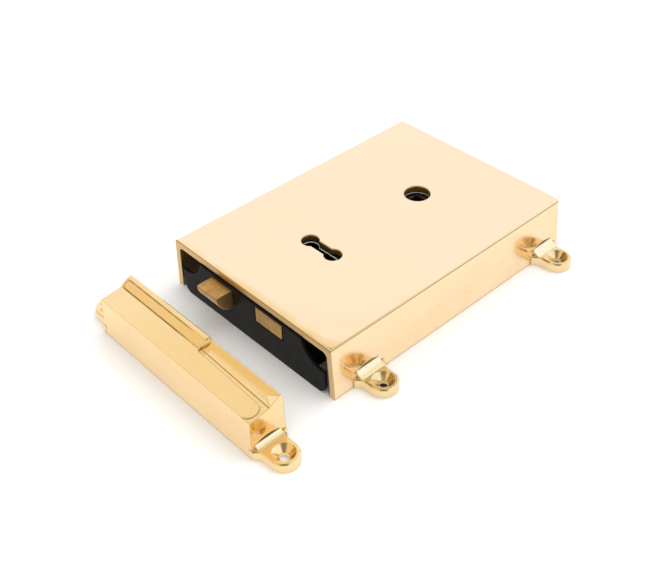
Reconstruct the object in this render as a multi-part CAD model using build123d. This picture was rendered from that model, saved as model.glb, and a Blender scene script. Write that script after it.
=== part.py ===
from build123d import *
import math
import os

# Rim lock with its cast cover and its box keep, in millimetres.
# Origin: on the door's face, midway between the four fixing holes of the cover.
# +X runs along the forend, +Y from the forend to the rear, +Z away from the door.

# cast cover
COVER_HEIGHT = 28.1
COVER_HALF_WIDTH_TOP = 55.0
COVER_DRAFT_SIDE = 1.9
COVER_DRAFT_REAR = 1.4
COVER_FRONT = -83.1
COVER_REAR_TOP = 74.8
COVER_TOP_THICKNESS = 3.3
COVER_WALL = 3.0
COVER_CORNER_RADIUS = 3.0
COVER_EDGE_RADIUS = 1.0
COVER_INNER_RADIUS = 2.6
HOLE_EDGE_CHAMFER = 0.35

# fixing ears, the same on the cover and on the keep
EAR_X = 65.8
EAR_Y = 62.1
EAR_RADIUS = 7.0
EAR_THICKNESS = 5.0
EAR_CHAMFER = 0.7
EAR_FLARE = 5.6
EAR_REACH = 9.6
EAR_SCREW_RADIUS = 2.2
EAR_SINK_RADIUS = 5.2
EAR_COVE_RADIUS = 3.0

# openings of the cover
SPINDLE_X = 0.6
SPINDLE_Y = 27.7
SPINDLE_HOLE_RADIUS = 6.55
KEY_X = -8.5
KEY_LOBE_SPAN = 15.8
KEY_Y = -37.2
KEYHOLE_LOBE_RADIUS = 4.3
KEYHOLE_SLOT_WIDTH = 5.2

# lock case of pressed steel
LOCK_X = 0.6
SHEET = 1.5
CASE_HALF_WIDTH = 35.0
CASE_REAR = 68.5
CASE_TOP = 24.0
CASE_TOP_SHEET = 1.2
CASE_CORNER_RADIUS = 3.0
CASE_FLANGE = 6.0
CASE_SPINDLE_RADIUS = 7.0
CASE_KEY_RADIUS = 4.1
CASE_KEY_SLOT = 4.9
CASE_KEY_LENGTH = 15.8

# forend plate
FOREND_FRONT = -83.9
FOREND_HALF_WIDTH = 50.8
FOREND_CORNER_RADIUS = 5.0
FOREND_NOTCH_RADIUS = 14.0
FOREND_NOTCH_HEIGHT = 27.2
FOREND_NOTCH_INSET = 1.5
BOLT_CLEARANCE = 0.3

# latch bolt
LATCH_X0 = -25.6
LATCH_X1 = -11.4
LATCH_BOTTOM = 12.6
BOLT_TOP = 22.5
LATCH_THROW = 9.2
LATCH_NOSE_HEIGHT = 1.2
LATCH_REAR = -73.2
TAIL_Z0 = 14.0
TAIL_Z1 = 17.0
TAIL_LAP = 5.8
TAIL_TAB_X1 = -19.6
TAIL_STRIP_X0 = -32.1
TAIL_STRIP_X1 = -26.5
TAIL_STRIP_FRONT = -70.5

# follower that the spindle turns
FOLLOWER_LIFT = 13.5
FOLLOWER_TURN = 39.0
FOLLOWER_HUB_RADIUS = 8.0
FOLLOWER_JOURNAL_RADIUS = 6.9
FOLLOWER_SQUARE = 8.0
HORN_HALF = 2.5
YOKE_GAP = 0.05

# latch spring
SPRING_X = -15.2
SPRING_Z = 17.4
SPRING_MEAN_RADIUS = 2.6
SPRING_WIRE_RADIUS = 0.45
SPRING_TURNS = 7
SPRING_RUNS = 10
BRACKET_FRONT = -54.9
ROD_RADIUS = 1.4
ROD_CLEARANCE = 0.4

# deadbolt
DEADBOLT_X0 = 5.3
DEADBOLT_X1 = 23.3
DEADBOLT_BOTTOM = 14.4
DEADBOLT_REAR = -61.0
DEADBOLT_THROW = 12.0
DEADBOLT_GAP = 1.4
PLATE_THICKNESS = 3.0
TALON_DEPTH = 2.0
TALON_HALF = 2.6
STUMP_X = 13.7
STUMP_Y = -18.0
STUMP_HALF = 2.5
GUIDE_Y = -6.0

# levers
PIVOT_X = 22.2
PIVOT_Y = 16.0
PIVOT_RADIUS = 2.5
PIVOT_CLEARANCE = 0.06
LEVER_Z0 = 14.7
LEVER_THICKNESS = 1.8
LEVER_PITCH = 2.1
LEVER_EYE_RADIUS = 6.0
LEVER_FRONT = -54.5
LEVER_LEFT = 5.2
LEVER_RIGHT = 26.7
LEVER_DROP = 3.5
LEVER_BELLIES = (15.8, 16.5, 16.1)
GATE_CLEARANCE = 0.4

# keep
KEEP_X = 2.8
KEEP_FRONT = -130.7
KEEP_DEPTH = 19.3
KEEP_HALF_LENGTH = 54.65
KEEP_HALF_LENGTH_TOP = 53.5
KEEP_HEIGHT = 25.2
KEEP_END_HEIGHT = 26.0
KEEP_RIDGE_Y = 1.2
KEEP_RIDGE = 20.4
KEEP_TOP_REAR_Y = 12.6
KEEP_TOP_REAR = 21.6
KEEP_LIP_Y = 16.2
KEEP_LIP_Z = 24.4
KEEP_LIP_REAR = 22.6
KEEP_WALL = 2.6
KEEP_JOG_X = 11.0
KEEP_JOG_RUN = 2.0
KEEP_SCOOP_Y0 = 13.5
KEEP_SCOOP_Y1 = 12.0
KEEP_SCOOP_CREST_Y = 17.6
KEEP_SCOOP_CREST_Z = 24.1
KEEP_SCOOP_WEB = 6.0
KEEP_PANEL_Y0 = 11.7
KEEP_PANEL_Y1 = 10.0
KEEP_PANEL_CORNER = 4.2
KEEP_PANEL_MARGIN = 1.3
KEEP_PANEL_DEPTH = 0.45
KEEP_EAR_X = 64.1
KEEP_COVE_RADIUS = 1.8

CASE_X0 = LOCK_X - CASE_HALF_WIDTH
CASE_X1 = LOCK_X + CASE_HALF_WIDTH
CASE_FRONT = FOREND_FRONT + SHEET
CASE_INNER_TOP = CASE_TOP - CASE_TOP_SHEET
COVER_INNER_TOP = COVER_HEIGHT - COVER_TOP_THICKNESS
COVER_HALF_WIDTH_BASE = COVER_HALF_WIDTH_TOP + COVER_DRAFT_SIDE
COVER_REAR_BASE = COVER_REAR_TOP + COVER_DRAFT_REAR
PILLARS = [(CASE_X0 + 4.6, CASE_FRONT + 8), (CASE_X1 - 5.5, CASE_FRONT + 8),
           (CASE_X0 + 5.5, CASE_REAR - 6), (CASE_X1 - 5.5, CASE_REAR - 6)]


def block(x0, x1, y0, y1, z0, z1):
    """A box between two corners."""
    return Pos((x0 + x1) / 2, (y0 + y1) / 2, (z0 + z1) / 2) * Box(x1 - x0, y1 - y0, z1 - z0)


def post(x, y, z0, z1, radius):
    """A round post that stands between two heights."""
    return Pos(x, y, (z0 + z1) / 2) * Cylinder(radius, z1 - z0)


def plate(sketch, z0, z1):
    """A flat sheet cut to a sketch, between two heights."""
    return extrude(Pos(0, 0, z0) * sketch, z1 - z0)


def moulded(half_width, y0, y1, z1):
    """A block on the door whose sides and rear lean inwards, so that the casting leaves its mould."""
    solid = block(-half_width, half_width, y0, y1, 0, z1)
    solid = draft(solid.faces().filter_by(Axis.X), Plane.XY, math.degrees(math.atan(COVER_DRAFT_SIDE / COVER_HEIGHT)))
    rear = solid.faces().sort_by(Axis.Y)[-1]
    return draft(rear, Plane.XY, math.degrees(math.atan(COVER_DRAFT_REAR / COVER_HEIGHT)))


def upright_rear_edges(solid, y):
    return [e for e in solid.edges() if e.center().Y > y and e.bounding_box().size.Z > 10]


def edges_at_height(solid, z):
    return [e for e in solid.edges() if abs(e.center().Z - z) < 1e-3 and e.bounding_box().size.Z < 1e-3]


def keyhole(lobe, slot, length):
    """A round for the key's shank with a slot for its bit, along +X."""
    bit = Pos(KEY_X + length / 2, KEY_Y) * Rectangle(length, slot)
    return Pos(KEY_X, KEY_Y) * Circle(lobe) + bit


def ear(wall_x, cove_radius):
    """One fixing ear and its screw hole about x = 0, growing out of a wall that stands at -wall_x."""
    root = 1.5
    neck = Pos(-wall_x / 2, 0) * Rectangle(wall_x, 2 * EAR_RADIUS)
    strip = Pos(-wall_x - 10, 0) * Rectangle(20, 60)
    outline = strip + neck + Circle(EAR_RADIUS)
    corners = [v for v in outline.vertices() if abs(v.X + wall_x) < 0.01 and abs(abs(v.Y) - EAR_RADIUS) < 0.01]
    outline = fillet(corners, EAR_FLARE)
    length = wall_x + root + EAR_RADIUS
    outline &= Pos(EAR_RADIUS - length / 2, 0) * Rectangle(length, 2 * EAR_REACH)
    body = extrude(outline, EAR_THICKNESS)
    rim = [e for e in edges_at_height(body, EAR_THICKNESS) if e.center().X > 0.5 - wall_x]
    body = chamfer(rim, EAR_CHAMFER) + ear_cove(-wall_x, cove_radius)
    sink_depth = EAR_SINK_RADIUS - EAR_SCREW_RADIUS
    hole = post(0, 0, -1, EAR_THICKNESS + 1, EAR_SCREW_RADIUS)
    sink = Pos(0, 0, EAR_THICKNESS - sink_depth / 2) * Cone(EAR_SCREW_RADIUS, EAR_SINK_RADIUS, sink_depth)
    return body, hole + sink


def ear_cove(x, radius):
    """The hollow rounding between the top of an ear and its wall, which stands at x."""
    z = EAR_THICKNESS
    inside = 1.2
    lean = 0.3
    arc = ThreePointArc((x + radius, z), (x + 0.29 * radius, z + 0.29 * radius), (x - lean, z + radius))
    corners = [(x - lean, z + radius), (x - inside, z + radius), (x - inside, z - 1), (x + radius, z - 1), (x + radius, z)]
    lines = [Line(a, b) for a, b in zip(corners, corners[1:])]
    length = 2 * EAR_RADIUS
    return Pos(0, length / 2, 0) * extrude(Plane.XZ * make_face([arc] + lines), length)


def make_cover():
    outer = moulded(COVER_HALF_WIDTH_BASE, COVER_FRONT, COVER_REAR_BASE, COVER_HEIGHT)
    outer = fillet(upright_rear_edges(outer, 0), COVER_CORNER_RADIUS)
    outer = fillet(edges_at_height(outer, COVER_HEIGHT), COVER_EDGE_RADIUS)
    inner = moulded(COVER_HALF_WIDTH_BASE - COVER_WALL, COVER_FRONT - 20, COVER_REAR_BASE - COVER_WALL, COVER_INNER_TOP)
    inner = fillet(upright_rear_edges(inner, 0), COVER_CORNER_RADIUS)
    roof = [e for e in edges_at_height(inner, COVER_INNER_TOP) if e.center().Y > COVER_FRONT - 15]
    inner = fillet(roof, COVER_INNER_RADIUS)
    cover = outer - inner

    wall_at_ear = COVER_HALF_WIDTH_BASE - COVER_DRAFT_SIDE * EAR_THICKNESS / COVER_HEIGHT
    body, hole = ear(EAR_X - wall_at_ear, EAR_COVE_RADIUS)
    for turn, sign in ((0, 1), (180, -1)):
        for y in (-EAR_Y, EAR_Y):
            place = Pos(sign * EAR_X, y) * Rot(0, 0, turn)
            cover = cover + place * body - place * hole

    spindle_hole = post(SPINDLE_X, SPINDLE_Y, 20, 30, SPINDLE_HOLE_RADIUS)
    bow = Circle(KEYHOLE_LOBE_RADIUS)
    key_holes = Pos(KEY_X, KEY_Y) * bow + Pos(KEY_X + KEY_LOBE_SPAN, KEY_Y) * bow
    key_holes += Pos(KEY_X + KEY_LOBE_SPAN / 2, KEY_Y) * Rectangle(KEY_LOBE_SPAN, KEYHOLE_SLOT_WIDTH)
    cover = cover - spindle_hole - plate(key_holes, 20, 30)
    rims = [e for e in edges_at_height(cover, COVER_HEIGHT) if abs(e.center().X) < 20 and -60 < e.center().Y < 60]
    return chamfer(rims, HOLE_EDGE_CHAMFER)


def make_lock_case():
    outer = block(CASE_X0, CASE_X1, CASE_FRONT, CASE_REAR, SHEET, CASE_TOP)
    outer = fillet(upright_rear_edges(outer, 0), CASE_CORNER_RADIUS)
    top = [e for e in edges_at_height(outer, CASE_TOP) if e.center().Y > CASE_FRONT + 1]
    outer = fillet(top, 1.2)
    inner = block(CASE_X0 + SHEET, CASE_X1 - SHEET, CASE_FRONT - 5, CASE_REAR - SHEET, 0, CASE_INNER_TOP)
    inner = fillet(upright_rear_edges(inner, 0), CASE_CORNER_RADIUS - SHEET)
    case = outer - inner
    for x0, x1 in ((CASE_X0 + SHEET, CASE_X0 + CASE_FLANGE), (CASE_X1 - CASE_FLANGE, CASE_X1 - SHEET)):
        case += block(x0, x1, CASE_FRONT, CASE_FRONT + SHEET, SHEET, CASE_INNER_TOP)
    case -= post(SPINDLE_X, SPINDLE_Y, 20, 30, CASE_SPINDLE_RADIUS)
    return case - plate(keyhole(CASE_KEY_RADIUS, CASE_KEY_SLOT, CASE_KEY_LENGTH), 20, 30)


def make_back_plate():
    outline = Pos(LOCK_X, (CASE_FRONT + CASE_REAR) / 2) * RectangleRounded(
        2 * CASE_HALF_WIDTH, CASE_REAR - CASE_FRONT, CASE_CORNER_RADIUS)
    sheet = plate(outline, 0, SHEET)
    sheet -= post(SPINDLE_X, SPINDLE_Y, -1, 5, CASE_SPINDLE_RADIUS)
    sheet -= plate(keyhole(CASE_KEY_RADIUS, CASE_KEY_SLOT, CASE_KEY_LENGTH), -1, 5)
    for x, y in PILLARS:
        sheet -= Pos(x, y, SHEET / 2) * Cone(3.0, 1.6, SHEET)
    return sheet


def make_case_pillars():
    pillars = [post(x, y, SHEET, CASE_INNER_TOP, 2.8) - post(x, y, SHEET, 12, 1.6) for x, y in PILLARS]
    return Compound(children=pillars)


def make_cap_screws():
    screws = []
    for x, y in PILLARS:
        head = Pos(x, y, SHEET / 2) * Cone(2.9, 1.5, SHEET)
        slot = block(x - 3, x + 3, y - 0.4, y + 0.4, -1, 0.6)
        screws.append(head + post(x, y, SHEET, 9, 1.5) - slot)
    return Compound(children=screws)


def make_forend_plate():
    """The black plate that the bolts come through, with rounded feet and coved shoulders."""
    width = 2 * FOREND_HALF_WIDTH
    face = Pos(0, CASE_TOP / 2) * Rectangle(width, CASE_TOP)
    face = fillet([v for v in face.vertices() if v.Y < 1], FOREND_CORNER_RADIUS)
    for sign in (-1, 1):
        face -= Pos(sign * (FOREND_HALF_WIDTH - FOREND_NOTCH_INSET), FOREND_NOTCH_HEIGHT) * Circle(FOREND_NOTCH_RADIUS)
    sheet = Pos(LOCK_X, CASE_FRONT, 0) * extrude(Plane.XZ * face, SHEET)
    gap = BOLT_CLEARANCE
    y0, y1 = FOREND_FRONT - 1, CASE_FRONT + 1
    sheet -= block(LATCH_X0 - gap, LATCH_X1 + gap, y0, y1, LATCH_BOTTOM - gap, BOLT_TOP + gap)
    sheet -= block(DEADBOLT_X0 - gap, DEADBOLT_X1 + DEADBOLT_GAP, y0, y1, DEADBOLT_BOTTOM - gap, BOLT_TOP + 2 * gap)
    return sheet


def make_latch_head():
    """Brass head: flat on top, with the lead-in that rides over the keep curved on its underside."""
    nose = FOREND_FRONT - LATCH_THROW
    front = Line((nose, BOLT_TOP), (nose, BOLT_TOP - LATCH_NOSE_HEIGHT))
    bevel = ThreePointArc(front @ 1, (nose + 1.9, LATCH_BOTTOM + 4.0), (nose + 6.8, LATCH_BOTTOM))
    base = Line(bevel @ 1, (LATCH_REAR, LATCH_BOTTOM))
    back = Line(base @ 1, (LATCH_REAR, BOLT_TOP))
    face = make_face([front, bevel, base, back, Line(back @ 1, front @ 0)])
    head = Pos(LATCH_X0, 0, 0) * extrude(Plane.YZ * face, LATCH_X1 - LATCH_X0)
    nose_edges = [e for e in head.edges() if e.center().Y < nose + 0.01]
    head = fillet(nose_edges, 0.35)
    head -= block(LATCH_X0 - 1, TAIL_TAB_X1, LATCH_REAR - TAIL_LAP, LATCH_REAR + 1, TAIL_Z0, TAIL_Z1)
    bore_depth = LATCH_THROW + 1.5
    head -= rod_along_y(LATCH_REAR - bore_depth, LATCH_REAR, ROD_RADIUS + ROD_CLEARANCE)
    return head - latch_rivet()


def latch_rivet():
    return post((LATCH_X0 + TAIL_TAB_X1) / 2, LATCH_REAR - 3, LATCH_BOTTOM, BOLT_TOP, 1.2)


def rod_along_y(y0, y1, radius):
    return Pos(SPRING_X, (y0 + y1) / 2, SPRING_Z) * Rot(90, 0, 0) * Cylinder(radius, y1 - y0)


def make_latch_tail():
    """Steel strip along the case's side, ending in the yoke whose two prongs stand on the follower's horns."""
    prong_y = SPINDLE_Y + HORN_HALF + YOKE_GAP
    bar_y0 = SPINDLE_Y + FOLLOWER_HUB_RADIUS + 0.5
    bar_y1 = bar_y0 + 6
    front = TAIL_STRIP_FRONT
    tab = Pos((LATCH_X0 + TAIL_TAB_X1) / 2, (LATCH_REAR - TAIL_LAP + front + 6) / 2) * Rectangle(
        TAIL_TAB_X1 - LATCH_X0, front + 6 - LATCH_REAR + TAIL_LAP)
    step = Pos((TAIL_STRIP_X0 + TAIL_TAB_X1) / 2, front + 3) * Rectangle(TAIL_TAB_X1 - TAIL_STRIP_X0, 6)
    strip = Pos((TAIL_STRIP_X0 + TAIL_STRIP_X1) / 2, (front + bar_y1) / 2) * Rectangle(
        TAIL_STRIP_X1 - TAIL_STRIP_X0, bar_y1 - front)
    right = SPINDLE_X + FOLLOWER_LIFT + 2.5
    bar = Pos((TAIL_STRIP_X0 + right) / 2, (bar_y0 + bar_y1) / 2) * Rectangle(right - TAIL_STRIP_X0, bar_y1 - bar_y0)
    outline = tab + step + strip + bar
    for sign in (-1, 1):
        x = SPINDLE_X + sign * FOLLOWER_LIFT
        outline += Pos(x, (prong_y + bar_y0) / 2) * Rectangle(5, bar_y0 - prong_y)
    outline = fillet([v for v in outline.vertices() if v.Y > bar_y1 - 0.1], 2)
    return plate(outline, TAIL_Z0, TAIL_Z1) - latch_rivet()


def make_latch_spring_rod():
    """Fixed in the bracket; the head's bore slides over it as the latch goes back."""
    return rod_along_y(LATCH_REAR + 0.6, BRACKET_FRONT + SHEET, ROD_RADIUS)


def make_latch_spring():
    """Compression spring between the head and the bracket, out of sight, so each turn is a few straight runs."""
    wire = SPRING_WIRE_RADIUS
    length = BRACKET_FRONT - LATCH_REAR - 2 * wire - 0.2
    pitch = length / SPRING_TURNS
    helix = Helix(pitch, length, SPRING_MEAN_RADIUS)
    runs = SPRING_TURNS * SPRING_RUNS
    path = Polyline(*[helix @ (i / runs) for i in range(runs + 1)])
    coil = sweep(Plane(path @ 0, z_dir=path % 0) * RegularPolygon(wire, 6), path, transition=Transition.RIGHT)
    print("latch spring, least gap between turns:", round(pitch - 2 * wire, 3))
    return Pos(SPRING_X, BRACKET_FRONT - wire - 0.1, SPRING_Z) * Rot(90, 0, 0) * coil


def make_latch_bracket():
    """Upright on the back plate that stops the spring and holds its rod."""
    x0, x1 = TAIL_TAB_X1 - 4.5, LATCH_X1 + 1
    upright = block(x0, x1, BRACKET_FRONT, BRACKET_FRONT + SHEET, SHEET, 20.5)
    upright = fillet([e for e in upright.edges() if e.center().Z > 20 and abs(e.center().X - SPRING_X) > 3], 3)
    foot = block(x0, x1, BRACKET_FRONT - 8, BRACKET_FRONT, SHEET, 2 * SHEET)
    return upright + foot - make_latch_spring_rod()


def make_tail_guide():
    """Stepped post: its shoulder carries the latch's tail and its neck keeps it to the side."""
    shoulder = TAIL_Z0 - 0.3
    x = TAIL_STRIP_X1 + 2.3
    return post(x, 2.0, SHEET, shoulder, 3.4) + post(x, 2.0, shoulder, CASE_INNER_TOP, 2.0)


def cam_point(turn):
    """Where a horn touches the yoke after a turn: an involute, so that the latch moves evenly with the spindle."""
    reach = HORN_HALF + FOLLOWER_LIFT * turn
    x = reach * math.sin(turn) + FOLLOWER_LIFT * math.cos(turn)
    y = reach * math.cos(turn) - FOLLOWER_LIFT * math.sin(turn)
    return x, y


def make_follower():
    turns = [math.radians(FOLLOWER_TURN) * i / 4 for i in range(5)]
    cam = Spline([cam_point(t) for t in turns])
    tip = cam @ 1
    lines = [cam, Line(tip, (tip.X - 0.8, -HORN_HALF)), Line((tip.X - 0.8, -HORN_HALF), (0, -HORN_HALF)),
             Line((0, -HORN_HALF), (0, HORN_HALF)), Line((0, HORN_HALF), cam @ 0)]
    horn = make_face(lines)
    horns = plate(horn + mirror(horn, Plane.YZ), TAIL_Z0, TAIL_Z1 + 0.4)
    hub = post(0, 0, 2.0, CASE_INNER_TOP - 0.3, FOLLOWER_HUB_RADIUS)
    journal = post(0, 0, 0.3, CASE_TOP - 0.6, FOLLOWER_JOURNAL_RADIUS)
    square = block(-FOLLOWER_SQUARE / 2, FOLLOWER_SQUARE / 2, -FOLLOWER_SQUARE / 2, FOLLOWER_SQUARE / 2, -1, 30)
    return Pos(SPINDLE_X, SPINDLE_Y) * (horns + hub + journal - square)


def deadbolt_rivets():
    return [post(x, DEADBOLT_REAR - 4.5, DEADBOLT_BOTTOM - PLATE_THICKNESS, BOLT_TOP - 2, 1.4) for x in (11, 19)]


def make_deadbolt_head():
    head = block(DEADBOLT_X0, DEADBOLT_X1, FOREND_FRONT, DEADBOLT_REAR, DEADBOLT_BOTTOM, BOLT_TOP)
    head = chamfer([e for e in head.edges() if e.center().Y < FOREND_FRONT + 0.01], 0.3)
    for rivet in deadbolt_rivets():
        head -= rivet
    return head


def make_deadbolt_tail():
    """Steel tail under the levers, with the notch that the key turns in and the slot for its guide."""
    x0, x1 = DEADBOLT_X0, DEADBOLT_X1 - 1
    y0 = DEADBOLT_REAR - 9
    y1 = GUIDE_Y + DEADBOLT_THROW + 5.8
    outline = Pos((x0 + x1) / 2, (y0 + y1) / 2) * Rectangle(x1 - x0, y1 - y0)
    outline = fillet([v for v in outline.vertices() if v.Y > y1 - 0.1], 2)
    talon_y = KEY_Y + DEADBOLT_THROW / 2
    notch = Pos(x0, talon_y) * Rectangle(2 * TALON_DEPTH, 2 * TALON_HALF)
    notch = fillet([v for v in notch.vertices() if v.X > x0], 1.2)
    slot = Pos(STUMP_X, GUIDE_Y + DEADBOLT_THROW / 2) * Rot(0, 0, 90) * SlotCenterToCenter(DEADBOLT_THROW, 5.2)
    outline = outline - notch - slot
    tail = plate(outline, DEADBOLT_BOTTOM - PLATE_THICKNESS, DEADBOLT_BOTTOM)
    for rivet in deadbolt_rivets():
        tail -= rivet
    return tail


def make_deadbolt_stump():
    top = LEVER_Z0 + 3 * LEVER_PITCH + 0.4
    side = STUMP_HALF
    stump = block(STUMP_X - side, STUMP_X + side, STUMP_Y - side, STUMP_Y + side, DEADBOLT_BOTTOM, top)
    return chamfer(edges_at_height(stump, top), 0.4)


def make_bolt_guide():
    z = DEADBOLT_BOTTOM - PLATE_THICKNESS - 0.1
    return post(STUMP_X, GUIDE_Y, SHEET, z, 4.5) + post(STUMP_X, GUIDE_Y, z, DEADBOLT_BOTTOM, 2.5)


def lever_outline(belly):
    """Lever seen from above, at the height that its key step lifts it to: the gate lines up with the stump."""
    corners = [(LEVER_LEFT, LEVER_FRONT), (LEVER_RIGHT, LEVER_FRONT), (LEVER_RIGHT, PIVOT_Y - 10), (PIVOT_X + 5.9, PIVOT_Y - 1),
               (PIVOT_X - 5.9, PIVOT_Y + 1), (LEVER_LEFT, PIVOT_Y - 22)]
    outline = make_face(Polyline(*corners, close=True))
    outline = fillet([v for v in outline.vertices() if v.Y < 0], 2.5)
    outline += Pos(PIVOT_X, PIVOT_Y) * Circle(LEVER_EYE_RADIUS)
    outline -= Pos(KEY_X, KEY_Y) * Circle(belly)
    outline -= Pos(PIVOT_X, PIVOT_Y) * Circle(PIVOT_RADIUS + PIVOT_CLEARANCE)
    reach = STUMP_HALF + GATE_CLEARANCE
    gate_x0, gate_x1 = STUMP_X - reach, STUMP_X + reach
    front, rear = STUMP_Y - DEADBOLT_THROW, STUMP_Y
    gate = Pos(STUMP_X, (front + rear) / 2) * Rectangle(2 * reach, DEADBOLT_THROW + 2 * reach)
    for y in (front, rear):
        sink = math.radians(LEVER_DROP) * (PIVOT_Y - y) + 0.2
        pocket_y0, pocket_y1 = y - reach - 0.6, y + reach
        gate += Pos((gate_x0 + gate_x1 + sink) / 2, (pocket_y0 + pocket_y1) / 2) * Rectangle(
            gate_x1 + sink - gate_x0, pocket_y1 - pocket_y0)
    return outline - gate


def lever_height(index):
    return LEVER_Z0 + index * LEVER_PITCH


def make_lever(index):
    z = lever_height(index)
    return plate(lever_outline(LEVER_BELLIES[index]), z, z + LEVER_THICKNESS)


def make_lever_spring(index):
    """Leaf spring from the lever's edge to the wall of the case."""
    z = lever_height(index) + LEVER_THICKNESS / 2
    leaf = 0.5
    wall = CASE_X1 - SHEET
    root = (LEVER_RIGHT + leaf / 2, LEVER_FRONT + 6, z)
    path = ThreePointArc(root, (wall - 3.4, LEVER_FRONT + 23, z), (wall - 0.6, LEVER_FRONT + 45, z))
    section = Plane(path @ 0, x_dir=(0, 0, 1), z_dir=path % 0) * Rectangle(LEVER_THICKNESS - 0.4, leaf)
    return sweep(section, path)


def make_lever_pivot():
    return post(PIVOT_X, PIVOT_Y, SHEET, CASE_INNER_TOP, PIVOT_RADIUS)


def make_lever_spacer():
    ring = post(PIVOT_X, PIVOT_Y, SHEET, LEVER_Z0 - 0.2, 3.6)
    return ring - post(PIVOT_X, PIVOT_Y, 0, 20, PIVOT_RADIUS)


def keep_top(y):
    """Height of the keep's sloping top behind its ridge."""
    slope = (KEEP_TOP_REAR - KEEP_RIDGE) / (KEEP_TOP_REAR_Y - KEEP_RIDGE_Y)
    return KEEP_RIDGE + slope * (y - KEEP_RIDGE_Y)


def keep_section(foot, scooped):
    """Cross section of the keep: front wall, sloping top and, behind its foot, the lip along the lock's side."""
    top = keep_top(foot)
    front = [(0, 0), (KEEP_RIDGE_Y, KEEP_RIDGE), (foot, top)]
    if scooped:
        crest = (KEEP_SCOOP_CREST_Y, KEEP_SCOOP_CREST_Z)
        middle = ((foot + crest[0]) / 2 + 0.5, (top + crest[1]) / 2 - 0.6)
        ramp = ThreePointArc(front[-1], middle, crest)
        lip = [crest, (crest[0] + 0.5, crest[1] + 0.6), (crest[0] + 1.2, crest[1] + 0.3)]
    else:
        crest = (KEEP_LIP_Y, KEEP_LIP_Z)
        front += [(foot + 0.1, top + 0.5), (foot + 0.5, top + 0.9)]
        ramp = Line(front[-1], crest)
        lip = [crest, (crest[0] + 0.4, crest[1] + 0.5), (crest[0] + 2.2, KEEP_HEIGHT), (crest[0] + 2.7, KEEP_HEIGHT - 0.3)]
    lip += [(KEEP_DEPTH, KEEP_LIP_REAR), (KEEP_DEPTH, 0), (0, 0)]
    lines = [Line(a, b) for a, b in zip(front, front[1:])] + [ramp]
    lines += [Line(a, b) for a, b in zip(lip, lip[1:])]
    return Plane.YZ * make_face(lines)


def keep_hollow():
    """Cross section of the space inside, a wall's thickness within the outer one."""
    roof, crown = KEEP_RIDGE - 1.8, 21.4
    behind = KEEP_DEPTH + 5
    points = [(KEEP_WALL, -1), (KEEP_WALL + KEEP_RIDGE_Y, roof), (13.4, roof), (16.4, crown), (behind, crown), (behind, -1)]
    return Plane.YZ * make_face(Polyline(*points, close=True))


def along_x(section, x0, x1):
    return Pos(x0, KEEP_FRONT, 0) * extrude(section, x1 - x0, dir=(1, 0, 0))


def keep_ends(inset):
    """The space between the keep's two leaning ends."""
    half, half_top = KEEP_HALF_LENGTH - inset, KEEP_HALF_LENGTH_TOP - inset
    top = KEEP_END_HEIGHT
    ends = make_face(Polyline((-half, 0), (half, 0), (half_top, top), (-half_top, top), close=True))
    return Pos(KEEP_X, KEEP_FRONT + 40, 0) * extrude(Plane.XZ * ends, 60)


def scoop_web(right):
    """The slanting triangle that closes the scoop at its end."""
    foot = Vector(right, KEEP_FRONT + KEEP_SCOOP_Y1, keep_top(KEEP_SCOOP_Y1))
    crest = Vector(right, KEEP_FRONT + KEEP_SCOOP_CREST_Y, KEEP_SCOOP_CREST_Z)
    point = (foot + crest) / 2 + Vector(-KEEP_SCOOP_WEB, 0.6, -0.7)
    below = (foot + crest) / 2 + Vector(0, 1.2, -2.2)
    sides = ((foot, crest, point), (foot, point, below), (foot, crest, below), (crest, point, below))
    return Solid(Shell([make_face(Polyline(*side, close=True)) for side in sides]))


def panel_rebate(left, right):
    """The shallow step round the plain panel on the keep's top."""
    end = KEEP_X + KEEP_HALF_LENGTH_TOP - KEEP_PANEL_MARGIN
    front = KEEP_RIDGE_Y
    panel = make_face(Polyline((left, front), (end, front), (end, KEEP_PANEL_Y1), (left, KEEP_PANEL_Y0), close=True))
    panel = fillet([v for v in panel.vertices() if v.X > left], KEEP_PANEL_CORNER)
    straight = end - KEEP_PANEL_CORNER
    panel += Pos((left + straight) / 2, front) * Rectangle(straight - left, 2 * front)
    area = make_face(Polyline((left, 0), (right, 0), (right, KEEP_SCOOP_Y1), (left, KEEP_SCOOP_Y0), close=True))
    reach = 20
    low = (0, keep_top(0) - KEEP_PANEL_DEPTH)
    high = (reach, keep_top(reach) - KEEP_PANEL_DEPTH)
    above = make_face(Polyline(low, high, (reach, 2 * KEEP_HEIGHT), (0, 2 * KEEP_HEIGHT), close=True))
    return along_x(Plane.YZ * above, left, right) & (Pos(0, KEEP_FRONT, 0) * plate(area - panel, 15, 30))


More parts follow.
